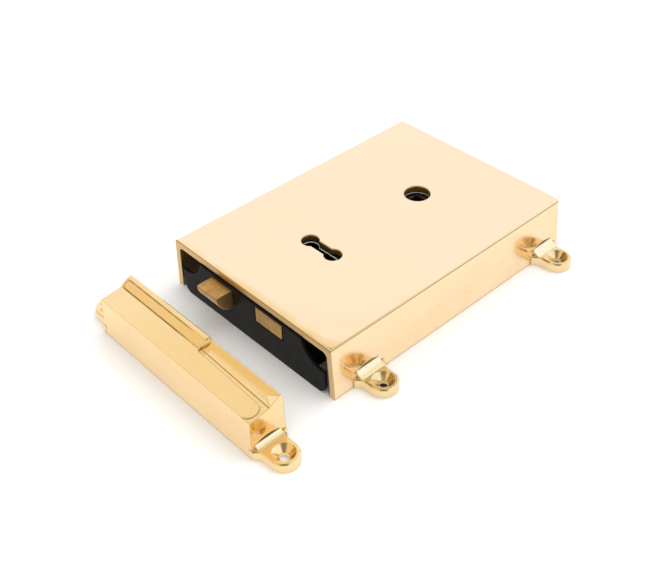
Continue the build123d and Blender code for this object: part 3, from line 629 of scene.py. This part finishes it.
def polished_casting(name, brass, colour, mottle, raw_boxes, edge_height, ears, ear_colour, dark_arc,
                     ends=None, rolled=None, lip=None):
    """Polished brass outside, with the rough cast skin inside each of the raw boxes.

    ears and rolled give the inputs of the Ear hollow and the Rolled front. ends is a box of dull faces.
    lip gives the inputs of the Lip outline, and a box whose faces are turned towards a slope.
    """
    material, tree, shader = start_finish(name)
    edges = place_group(tree, "Soft edges", Radius=brass.edge)
    polish = place_group(tree, "Wheel polish", Ripple=1.0, Hairlines=0.5, Haze=0.06)
    grime_and_shade = place_group(tree, "Corner grime and shade", Reach=0.004, Open=0.80, Shut=0.25)
    crease = place_group(tree, "Corner grime and shade", Reach=0.0009, Open=0.93, Shut=0.55)
    skin = place_group(tree, "Sand skin", Grain=0.0008)
    pits = place_group(tree, "Casting pits", Spacing=0.0011, Amount=low_band(tree, 0.012, 0.026))
    hollow = place_group(tree, "Ear hollow", **ears)
    raw = 0.0
    for box in raw_boxes:
        raw = maths(tree, "MAXIMUM", raw, inside_mask(tree, *box))

    deep, olive, copper = paint(brass.deep_colour), paint(brass.olive), paint(brass.copper)
    metal = coats(
        tree, paint(colour),
        (polish["Mottle"], mottle, copper),
        # Painted shade: olive darkening in the corners and the creases, where occlusion finds them.
        (grime_and_shade["Grime and shade"], 0.60, olive),
        (crease["Grime and shade"], 0.75, olive),
        (pits["Pits"], 0.45, deep),
        (product(tree, skin["Shade"], pits["Patch"]), 0.45, copper),
        # Painted shade: the edges are darkened as a painted dark edge line.
        (edges["Edge"], 0.85, deep),
        # Painted reflection: a thin dark line on the roundings along the top edges.
        (rounded_edges(tree, edge_height), 0.75, olive),
        # Painted shade: the cover's ears take a darker brass; the keep's ears keep the keep's colour.
        (hollow["Ear"], 0.8, paint(ear_colour)),
        # Painted shade: a dark arc on the wall over each ear's hollow.
        (hollow["Arc"], dark_arc, paint(brass.olive, 0.35)),
        # Painted highlight: the ears' hollows are painted a pale gleam.
        (hollow["Hollow"], 0.6, HOLLOW_PAINTED_HIGHLIGHT))
    normal = turned(tree, edges["Normal"], hollow["Out"], hollow["Hollow"], 0.7)
    if lip:
        line = place_group(tree, "Lip outline", **lip["outline"])["Line"]
        # Painted shade: the thin dark line round the band on the keep's left lip.
        metal = coats(tree, metal, (line, 0.85, paint(brass.olive, 0.6)))
        normal = turned(tree, normal, lip["slope"], inside_mask(tree, *lip["jog"]), 0.85)
    dull = 0.0
    if ends:
        dull = inside_mask(tree, *ends)
        metal = coats(tree, metal, (dull, 0.75, deep))
    if rolled:
        normal = relief(tree, place_group(tree, "Rolled front", **rolled)["Height"], 1.0, normal)

    rough_metal = blend(tree, skin["Shade"], paint(brass.raw_colour), paint(brass.raw_colour, 0.55))
    smooth = maths(tree, "ADD", polish["Roughness"], brass.roughness)
    smooth = maths(tree, "ADD", smooth, product(tree, dull, DULL_ROUGHNESS))
    roughness = maths(tree, "ADD", smooth, product(tree, raw, RAW_ROUGHNESS))
    waved = relief(tree, polish["Height"], brass.ripple, normal)
    grain = minus(tree, product(tree, skin["Height"], raw), product(tree, pits["Pits"], PIT_SHARE))
    set_surface(tree, shader, blend(tree, raw, metal, rough_metal), roughness,
                relief(tree, grain, GRAIN_HEIGHT, waved))
    return material


def filed_brass(name, colour, roughness, edge=0.0004):
    """Sawn and filed brass, with painted shade in its corners and a painted highlight on its edges."""
    material, tree, shader = start_finish(name)
    edges = place_group(tree, "Soft edges", Radius=edge)
    marks = place_group(tree, "File marks")
    grime_and_shade = place_group(tree, "Corner grime and shade", Reach=0.003)
    dull = paint(colour, 0.62)
    body = blend(tree, marks["Shade"], paint(colour), dull)
    # Painted shade in the corners, and a painted highlight on the edges.
    body = coats(tree, body, (grime_and_shade["Grime and shade"], 0.7, dull), (edges["Edge"], 0.8, paint(colour, 1.9)))
    set_surface(tree, shader, body, ramp(tree, marks["Shade"], 0.0, 1.0, roughness, roughness + 0.14),
                relief(tree, marks["Height"], FILE_HEIGHT, edges["Normal"]))
    return material


def stoved_enamel(name, colour, glint_low, glint_high):
    """Black enamel with a faint orange peel and dust, rubbed to the metal on the edges inside the glint box and
    painted near white there, partly wear and partly a painted highlight.
    """
    material, tree, shader = start_finish(name)
    edges = place_group(tree, "Soft edges", Radius=0.0009)
    polish = place_group(tree, "Wheel polish", Ripple=0.5, Hairlines=0.6, Haze=0.12)
    skin = place_group(tree, "Sand skin", Grain=0.0012)
    grime_and_shade = place_group(tree, "Corner grime and shade", Reach=0.004)
    rim = ramp(tree, edges["Edge"], 0.0, 0.4)
    # Painted highlight: the rims inside the glint box are painted near white, as rubbed metal that glints.
    bare_glint = product(tree, inside_mask(tree, glint_low, glint_high), rim)
    worn = paint([part * 4 + 0.02 for part in colour])
    body = coats(tree, paint(colour), (skin["Shade"], 0.3, worn), (edges["Edge"], 0.6, worn),
                 (grime_and_shade["Grime and shade"], 0.4, HOUSE_DUST))
    peel = relief(tree, skin["Height"], ENAMEL_PEEL, edges["Normal"])
    set_surface(tree, shader, blend(tree, bare_glint, body, BARE_METAL_AND_GLINT),
                maths(tree, "ADD", polish["Roughness"], ENAMEL_ROUGHNESS),
                relief(tree, polish["Height"], ENAMEL_WAVES, peel), metallic=product(tree, bare_glint, 0.3))
    feed(tree, shader.inputs["Specular IOR Level"], 0.04)
    return material


def plain_steel(name, colour, roughness):
    """Bright or rumbled steel with drawing lines, and a trace of oil with painted shade in its corners."""
    material, tree, shader = start_finish(name)
    edges = place_group(tree, "Soft edges", Radius=0.0002)
    marks = place_group(tree, "File marks")
    grime_and_shade = place_group(tree, "Corner grime and shade", Reach=0.002)
    body = coats(tree, paint(colour), (marks["Shade"], 0.5, paint(colour, 0.5)), (grime_and_shade["Grime and shade"], 0.8, OLD_OIL_AND_SHADE))
    set_surface(tree, shader, body, ramp(tree, marks["Shade"], 0.0, 1.0, roughness, roughness + 0.15),
                relief(tree, marks["Height"], DRAWN_HEIGHT, edges["Normal"]))
    return material


def grey_iron(name, colour):
    """Cast iron with a sandy skin, darkest in its corners, where shade is painted."""
    material, tree, shader = start_finish(name)
    edges = place_group(tree, "Soft edges", Radius=0.0004)
    skin = place_group(tree, "Sand skin", Grain=0.0006)
    grime_and_shade = place_group(tree, "Corner grime and shade", Reach=0.003)
    dark = paint(colour, 0.4)
    body = blend(tree, skin["Shade"], paint(colour), dark)
    body = coats(tree, body, (edges["Edge"], 0.8, paint(colour, 2.6)), (grime_and_shade["Grime and shade"], 0.6, dark))
    set_surface(tree, shader, body, ramp(tree, skin["Shade"], 0.0, 1.0, 0.38, 0.62),
                relief(tree, skin["Height"], IRON_HEIGHT, edges["Normal"]))
    return material


def dress(node, material):
    """Puts a finish on a node of the frame."""
    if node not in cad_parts:
        raise RuntimeError(f"the frame has no node {node}")
    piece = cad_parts[node]
    piece.data.materials.clear()
    piece.data.materials.append(material)


# ---- pieces ----

class RIMLOCK_OT_cover(bpy.types.Operator):
    """Polish the cover's outside and leave its inside as cast."""
    bl_idname = "rimlock.cover"
    bl_label = "Cover"

    def execute(self, context):
        brass = context.scene.cast_brass
        low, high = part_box("cover")
        side = high.x - EAR_REACH
        inner = side - SHELL_WALL
        inside = ((-inner, low.y + SKIN, -PAST), (inner, high.y - COVER_REAR_WALL, high.z - COVER_ROOF))
        drilled = [(*corner, high.z - depth) for corner, depth in zip(COVER_HOLES, COVER_HOLE_DEPTHS)]
        ends = ((low.x, low.y - PAST, -PAST), (high.x, low.y + SKIN, high.z - SKIN))
        finish = polished_casting(
            "Cover brass", brass, brass.colour, mottle=0.10, raw_boxes=(inside, drilled),
            edge_height=high.z - COVER_TOP_EDGE,
            ears={"Wall": COVER_EAR_WALL, "Spread": EAR_ALONG, "Cove": COVER_COVE},
            ear_colour=brass.ear_colour, dark_arc=0.8, ends=ends,
            rolled={"Front": low.y, "Side": side - COVER_EDGE_INSET, "Depth": brass.roll_off})
        dress("cover", finish)
        return {"FINISHED"}


class RIMLOCK_OT_keep(bpy.types.Operator):
    """Polish the keep's outside and leave its pocket as cast."""
    bl_idname = "rimlock.keep"
    bl_label = "Keep"

    def execute(self, context):
        brass = context.scene.cast_brass
        low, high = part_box("keep")
        left, right = low.x + EAR_REACH, high.x - EAR_REACH
        middle = (low.x + high.x) / 2
        jog = middle + JOG_PLACE
        inside = ((left + SHELL_WALL, low.y + KEEP_FRONT_WALL, -PAST),
                  (right - SHELL_WALL, high.y - SKIN, KEEP_POCKET_ROOF))
        outline = {"Left": left + BAND_START, "Right": jog - BAND_END, "Middle": low.y + BAND_MIDDLE,
                   "Half": BAND_HALF, "Floor": BAND_FLOOR}
        jog_box = ((jog - JOG_HALF, low.y + JOG_FRONT, JOG_HEIGHTS[0]),
                   (jog + JOG_HALF, high.y - JOG_REAR, JOG_HEIGHTS[1]))
        finish = polished_casting(
            "Keep brass", brass, brass.keep_colour, mottle=0.42, raw_boxes=(inside,), edge_height=high.z,
            ears={"Centre": (middle, (low.y + high.y) / 2, 0.0), "Wall": KEEP_EAR_WALL, "Spread": 0.0,
                  "Cove": KEEP_COVE},
            ear_colour=brass.keep_colour, dark_arc=0.95,
            lip={"outline": outline, "slope": JOG_SLOPE, "jog": jog_box})
        dress("keep", finish)
        return {"FINISHED"}


class RIMLOCK_OT_case(bpy.types.Operator):
    """Enamel the lock's case, its back plate and its forend plate black."""
    bl_idname = "rimlock.case"
    bl_label = "Case and forend"

    def execute(self, context):
        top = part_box("lock_case")[1].z
        # The glint box: the rims of the case's holes, where the painted highlight goes.
        bare_glint = ((*CASE_HOLES[0], top - CASE_RIM), (*CASE_HOLES[1], top + SKIN))
        enamel = stoved_enamel("Black enamel", context.scene.lock_metals.enamel, *bare_glint)
        for node in ("lock_case", "back_plate", "forend_plate"):
            dress(node, enamel)
        return {"FINISHED"}


class RIMLOCK_OT_bolts(bpy.types.Operator):
    """Give the latch and the deadbolt their filed brass."""
    bl_idname = "rimlock.bolts"
    bl_label = "Bolts"

    def execute(self, context):
        colour = context.scene.lock_metals.bolt
        # The deadbolt's brass is a darker copy of the latch's, painted shade.
        darker = [0.8 * part for part in colour]
        dress("latch_head", filed_brass("Latch brass", colour, BOLT_ROUGHNESS))
        dress("deadbolt_head", filed_brass("Deadbolt brass", darker, BOLT_ROUGHNESS))
        return {"FINISHED"}


class RIMLOCK_OT_works(bpy.types.Operator):
    """Finish the follower, the tails, the levers and the pins inside the case."""
    bl_idname = "rimlock.works"
    bl_label = "Works"

    def execute(self, context):
        metals = context.scene.lock_metals
        dress("follower", grey_iron("Follower iron", metals.iron))
        sheet = filed_brass("Lever brass", metals.lever, LEVER_ROUGHNESS, edge=0.0002)
        for number in (1, 2, 3):
            dress(f"lever_{number}", sheet)
        steel = plain_steel("Plain steel", metals.steel, STEEL_ROUGHNESS)
        for node in ("latch_tail", "latch_rivet", "latch_spring_rod", "latch_bracket", "tail_guide", "deadbolt_tail",
                     "deadbolt_rivets", "deadbolt_stump", "bolt_guide", "lever_pivot", "lever_spacer",
                     "case_pillars", "cap_screws"):
            dress(node, steel)
        wire = plain_steel("Spring steel", [0.7 * part for part in metals.steel], WIRE_ROUGHNESS)
        for node in ("lever_spring_1", "lever_spring_2", "lever_spring_3"):
            dress(node, wire)
        return {"FINISHED"}


def coil_mesh(spring, centre, radius, start, length):
    """A closed round wire that winds from start towards -Y, about a centre line through (x, z)."""
    bm = bmesh.new()
    rise = length / (2 * math.pi * spring.turns)
    rings = []
    for step in range(spring.turns * spring.steps + 1):
        angle = 2 * math.pi * step / spring.steps
        outward = Vector((math.cos(angle), 0, math.sin(angle)))
        along = Vector((-radius * outward.z, -rise, radius * outward.x)).normalized()
        across = along.cross(outward)
        middle = Vector((centre[0], start - rise * angle, centre[1])) + radius * outward
        ring = []
        for side in range(spring.sides):
            turn = 2 * math.pi * side / spring.sides
            reach = math.cos(turn) * outward + math.sin(turn) * across
            ring.append(bm.verts.new(middle + spring.wire * reach))
        rings.append(ring)
    for near, far in zip(rings, rings[1:]):
        for side in range(spring.sides):
            after = (side + 1) % spring.sides
            bm.faces.new((near[side], near[after], far[after], far[side])).smooth = True
    bm.faces.new(rings[0])
    bm.faces.new(reversed(rings[-1]))
    bmesh.ops.recalc_face_normals(bm, faces=bm.faces)
    mesh = bpy.data.meshes.new("latch_coil")
    bm.to_mesh(mesh)
    bm.free()
    return mesh


class RIMLOCK_OT_spring(bpy.types.Operator):
    """Wind the latch's spring from round wire."""
    bl_idname = "rimlock.spring"
    bl_label = "Latch spring"

    def execute(self, context):
        spring = context.scene.latch_spring
        low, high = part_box("latch_spring")
        centre = ((low.x + high.x) / 2, (low.z + high.z) / 2)
        radius = (high.x - low.x) / 2 - spring.wire
        length = high.y - low.y - 2 * spring.wire
        mesh = coil_mesh(spring, centre, radius, high.y - spring.wire, length)
        coil = bpy.data.objects.new("latch_coil", mesh)
        context.scene.collection.objects.link(coil)
        coil.data.materials.append(bpy.data.materials["Spring steel"])
        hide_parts("latch_spring")
        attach(coil, "lock")
        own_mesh(coil)
        return {"FINISHED"}


# ---- stage ----

def mix_to_output(tree, output, share, first, second):
    """Links the output to the first shader, which gives way to the second by a share."""
    mix = add(tree, "ShaderNodeMixShader")
    for socket, source in zip(mix.inputs, (share, first.outputs[0], second.outputs[0])):
        feed(tree, socket, source)
    tree.links.new(mix.outputs[0], add(tree, output).inputs[0])


def stage_floor(stage):
    """A wide pale floor that shows white to the eye and to the metal, and keeps the shadow."""
    mesh = bpy.data.meshes.new("floor")
    bm = bmesh.new()
    bmesh.ops.create_grid(bm, x_segments=1, y_segments=1, size=FLOOR_HALF)
    bm.to_mesh(mesh)
    bm.free()
    floor = bpy.data.objects.new("floor", mesh)
    bpy.context.scene.collection.objects.link(floor)
    material = bpy.data.materials.new("Studio floor")
    material.use_nodes = True
    tree = material.node_tree
    tree.nodes.clear()
    matt = add(tree, "ShaderNodeBsdfDiffuse")
    shade = place_group(tree, "Hole shade", Across=EAR_ACROSS, Along=EAR_ALONG)["Shade"]
    # Painted shadow: the floor is painted dark under the ears' screw holes.
    feed(tree, matt.inputs["Color"], blend(tree, shade, paint(stage.floor), HOLE_PAINTED_SHADOW))
    white = add(tree, "ShaderNodeEmission")
    feed(tree, white.inputs["Color"], WHITE)
    seen = add(tree, "ShaderNodeLightPath").outputs
    mirrored = maths(tree, "ADD", seen["Is Glossy Ray"], seen["Is Transmission Ray"], clamp=True)
    beside = minus(tree, 1.0, inside_mask(tree, *UNDER_LOCK))
    share = product(tree, mirrored, beside, stage.clean)
    mix_to_output(tree, "ShaderNodeOutputMaterial", share, matt, white)
    mesh.materials.append(material)


def stage_sky(stage):
    """Even white light, dimmer towards the open front of the tent where the camera stands."""
    world = bpy.data.worlds.new("Light tent")
    bpy.context.scene.world = world
    world.use_nodes = True
    tree = world.node_tree
    tree.nodes.clear()
    direction = add(tree, "ShaderNodeTexCoord").outputs["Generated"]
    split = axes(tree, direction)
    height = split["Z"]
    toward = add(tree, "ShaderNodeVectorMath", operation="DOT_PRODUCT")
    feed(tree, toward.inputs[0], direction)
    feed(tree, toward.inputs[1], -FORWARD)
    seam = absolute(tree, minus(tree, height, SEAM_HEIGHT))
    opening = product(tree, ramp(tree, toward.outputs["Value"], 0.86, 0.97), ramp(tree, height, 0.44, 0.58))
    mirrored = TENT_WALL
    for share, colour in (
            (ramp(tree, height, 0.66, 0.73), TENT_ROOF),
            (ramp(tree, height, 0.80, 1.0), TENT_CROWN),
            (ramp(tree, split["Y"], -0.10, -0.45), TENT_NEAR_SIDE),
            (ramp(tree, seam, 0.022, 0.008), TENT_SEAM),
            (opening, TENT_OPENING)):
        mirrored = blend(tree, share, mirrored, colour)
    rays = add(tree, "ShaderNodeLightPath").outputs
    tent = add(tree, "ShaderNodeBackground")
    feed(tree, tent.inputs["Color"], blend(tree, rays["Is Glossy Ray"], TENT_LIGHT, mirrored))
    feed(tree, tent.inputs["Strength"], stage.sky)
    plain = add(tree, "ShaderNodeBackground")
    feed(tree, plain.inputs["Color"], WHITE)
    feed(tree, plain.inputs["Strength"], 1.0)
    mix_to_output(tree, "ShaderNodeOutputWorld", rays["Is Camera Ray"], tent, plain)


def stage_lamp(name, place, target, size, power):
    """A square soft lamp that points at target."""
    light = bpy.data.lights.new(name, "AREA")
    light.size = size
    light.energy = power
    lamp = bpy.data.objects.new(name, light)
    lamp.location = place
    lamp.rotation_mode = "QUATERNION"
    lamp.rotation_quaternion = (Vector(target) - Vector(place)).to_track_quat("-Z", "Y")
    lamp.visible_glossy = False
    bpy.context.scene.collection.objects.link(lamp)


def stage_camera(stage):
    """The photo's camera, which looks along FORWARD."""
    camera = bpy.data.cameras.new("Camera")
    camera.lens = stage.lens
    camera.sensor_width = SENSOR_WIDTH
    camera.clip_start = CLIP_NEAR
    camera.clip_end = CLIP_FAR
    eye = bpy.data.objects.new("Camera", camera)
    forward = FORWARD.normalized()
    right = (RIGHT - forward * RIGHT.dot(forward)).normalized()
    up = right.cross(forward)
    turn = Matrix((right, up, -forward)).transposed().to_4x4()
    eye.matrix_world = Matrix.Translation(stage.eye) @ turn
    bpy.context.scene.collection.objects.link(eye)
    bpy.context.scene.camera = eye


class RIMLOCK_OT_stage(bpy.types.Operator):
    """Set the floor, the light tent, the lamp and the camera."""
    bl_idname = "rimlock.stage"
    bl_label = "Stage"

    def execute(self, context):
        stage = context.scene.studio_stage
        context.scene.view_settings.view_transform = "Standard"
        stage_floor(stage)
        stage_sky(stage)
        stage_lamp("Key lamp", KEY_PLACE, KEY_TARGET, KEY_SIZE, stage.key)
        stage_camera(stage)
        return {"FINISHED"}


class RIMLOCK_PT_panel(bpy.types.Panel):
    """Rim lock pieces"""
    bl_idname = "RIMLOCK_PT_panel"
    bl_label = "Rim lock"
    bl_space_type = "VIEW_3D"
    bl_region_type = "UI"
    bl_category = "Rim lock"

    def draw(self, context):
        for label, kind in GROUPS:
            box = self.layout.box()
            for name in kind.__annotations__:
                box.prop(getattr(context.scene, label), name)
        for operator in OPERATORS:
            self.layout.operator(operator.bl_idname)


GROUPS = (("cast_brass", CastBrass), ("lock_metals", LockMetals), ("latch_spring", LatchSpring),
          ("studio_stage", StudioStage))
OPERATORS = (RIMLOCK_OT_cover, RIMLOCK_OT_keep, RIMLOCK_OT_case, RIMLOCK_OT_bolts, RIMLOCK_OT_works,
             RIMLOCK_OT_spring, RIMLOCK_OT_stage)


def register():
    """Registers the settings, the operators and the panel."""
    for name, group in GROUPS:
        bpy.utils.register_class(group)
        setattr(bpy.types.Scene, name, PointerProperty(type=group))
    for cls in (*OPERATORS, RIMLOCK_PT_panel):
        bpy.utils.register_class(cls)


def unregister():
    """Takes away what register brought."""
    for cls in reversed((*OPERATORS, RIMLOCK_PT_panel)):
        bpy.utils.unregister_class(cls)
    for name, group in reversed(GROUPS):
        delattr(bpy.types.Scene, name)
        bpy.utils.unregister_class(group)


def main():
    """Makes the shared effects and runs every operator."""
    register()
    for make_effect in SHARED_EFFECTS:
        make_effect()
    bpy.ops.rimlock.cover()
    bpy.ops.rimlock.keep()
    bpy.ops.rimlock.case()
    bpy.ops.rimlock.bolts()
    bpy.ops.rimlock.works()
    bpy.ops.rimlock.spring()
    bpy.ops.rimlock.stage()


if __name__ == "__main__":
    main()
